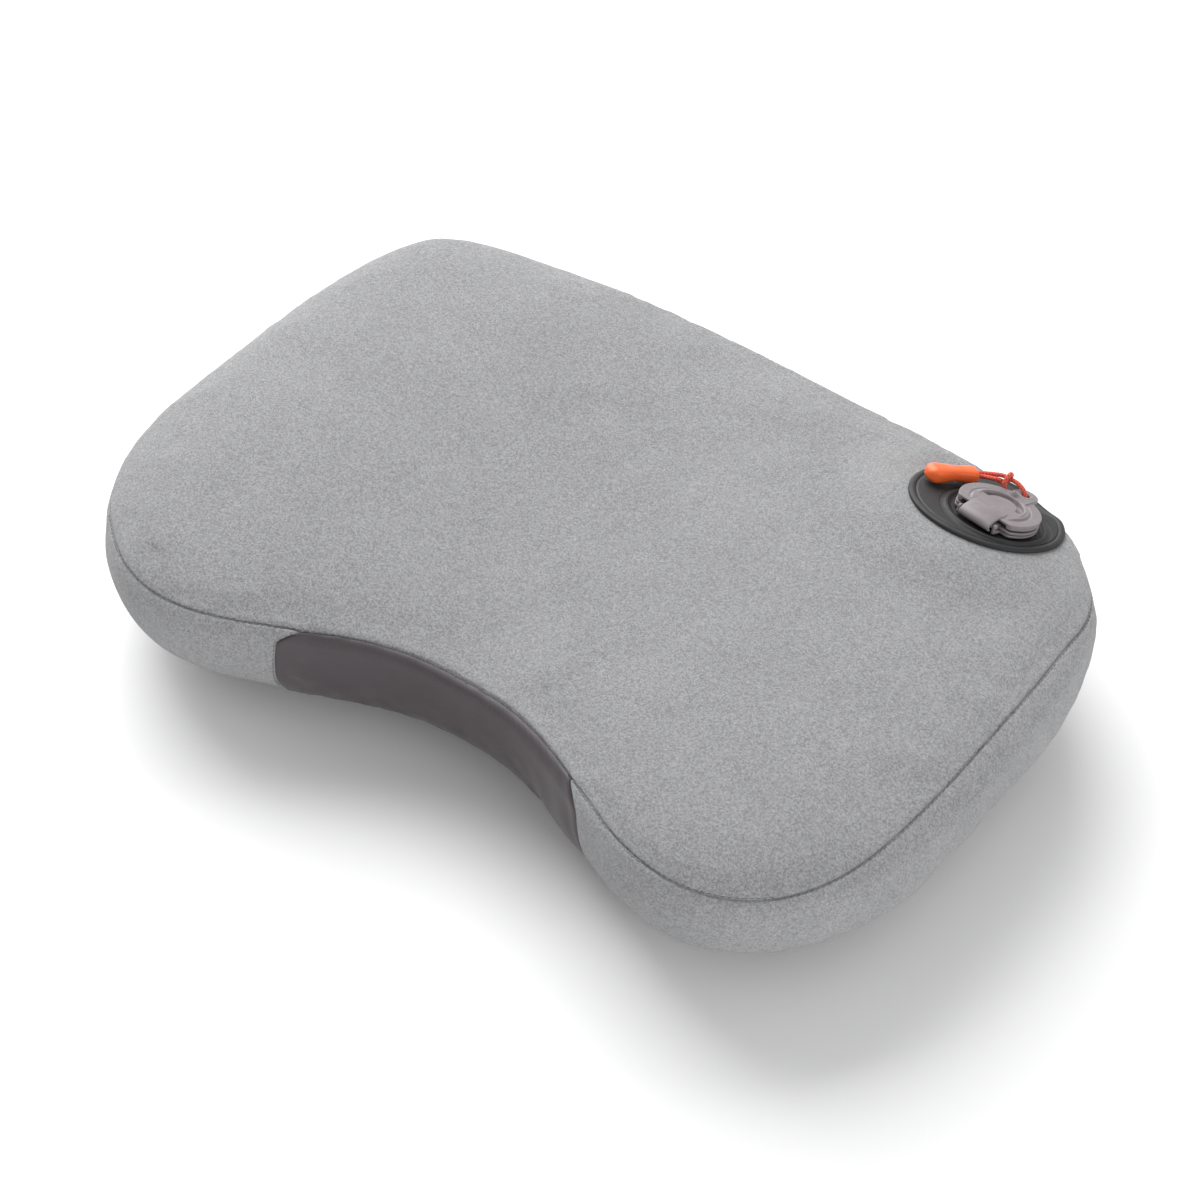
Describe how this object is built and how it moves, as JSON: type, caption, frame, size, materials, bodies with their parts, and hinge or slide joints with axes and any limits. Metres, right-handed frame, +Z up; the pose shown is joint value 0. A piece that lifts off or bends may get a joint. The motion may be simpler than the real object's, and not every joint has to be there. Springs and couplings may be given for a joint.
{
  "type": "inflatable camp pillow",
  "caption": "Inflatable camp pillow with a neck recess, a boxed brushed-fabric cover over a welded air bladder, and a flat flap valve with a pull cord.",
  "frame": {"origin": "middle of the pillow's length and depth, on the surface it lies on", "axes": "+X along the pillow's length, -Y towards the neck recess, +Z up"},
  "size_m": [0.4114, 0.2883, 0.0858],
  "materials": {
    "brushed_fabric": "matte",
    "dark_taffeta": "satin",
    "thread": "matte",
    "bladder_film": "satin",
    "charcoal_tpu": "matte",
    "grey_tpu": "satin",
    "silicone": "satin",
    "orange_cord": "matte",
    "orange_grip": "satin"
  },
  "bodies": {
    "cushion": {"top_panel": "brushed_fabric", "side_band": "brushed_fabric", "neck_panel": "dark_taffeta", "base_panel": "dark_taffeta", "top_seam_thread": "thread", "base_seam_thread": "thread", "neck_seam_thread_left": "thread", "neck_seam_thread_right": "thread", "bladder_top_film": "bladder_film", "bladder_wall_film": "bladder_film", "bladder_base_film": "bladder_film", "baffle_1": "bladder_film", "baffle_2": "bladder_film", "baffle_3": "bladder_film", "valve_flange": "charcoal_tpu", "valve_seat": "grey_tpu", "valve_weld_ring": "grey_tpu"},
    "deflate_flap": {"deflate_flap": "grey_tpu"},
    "check_membrane": {"check_membrane": "silicone"},
    "inflate_cap": {"inflate_cap": "grey_tpu"},
    "pull": {"pull_cord": "orange_cord", "pull_grip": "orange_grip"}
  },
  "joints": [
    {"name": "deflate_flap_hinge", "type": "hinge", "parent": "cushion", "child": "deflate_flap", "pos_m": [0.13286, 0.08304, 0.08262], "axis": [0.9885, -0.1513, -0.0011], "range_deg": [0, 70]},
    {"name": "inflate_cap_hinge", "type": "hinge", "parent": "deflate_flap", "child": "inflate_cap", "pos_m": [0.13286, 0.08304, 0.08262], "axis": [0.9885, -0.1513, -0.0011], "range_deg": [0, 85]},
    {"name": "membrane_flex", "type": "hinge", "parent": "deflate_flap", "child": "check_membrane", "pos_m": [0.13357, 0.08773, 0.07432], "axis": [-0.9885, 0.1513, 0.0011], "range_deg": [0, 40], "stiffness_Nm_per_rad": 0.0005, "springref_deg": -5.73},
    {"name": "pull_swivel", "type": "hinge", "parent": "inflate_cap", "child": "pull", "pos_m": [0.138, 0.11667, 0.07089], "axis": [-0.06, -0.385, -0.921], "range_deg": [0, 80]}
  ]
}
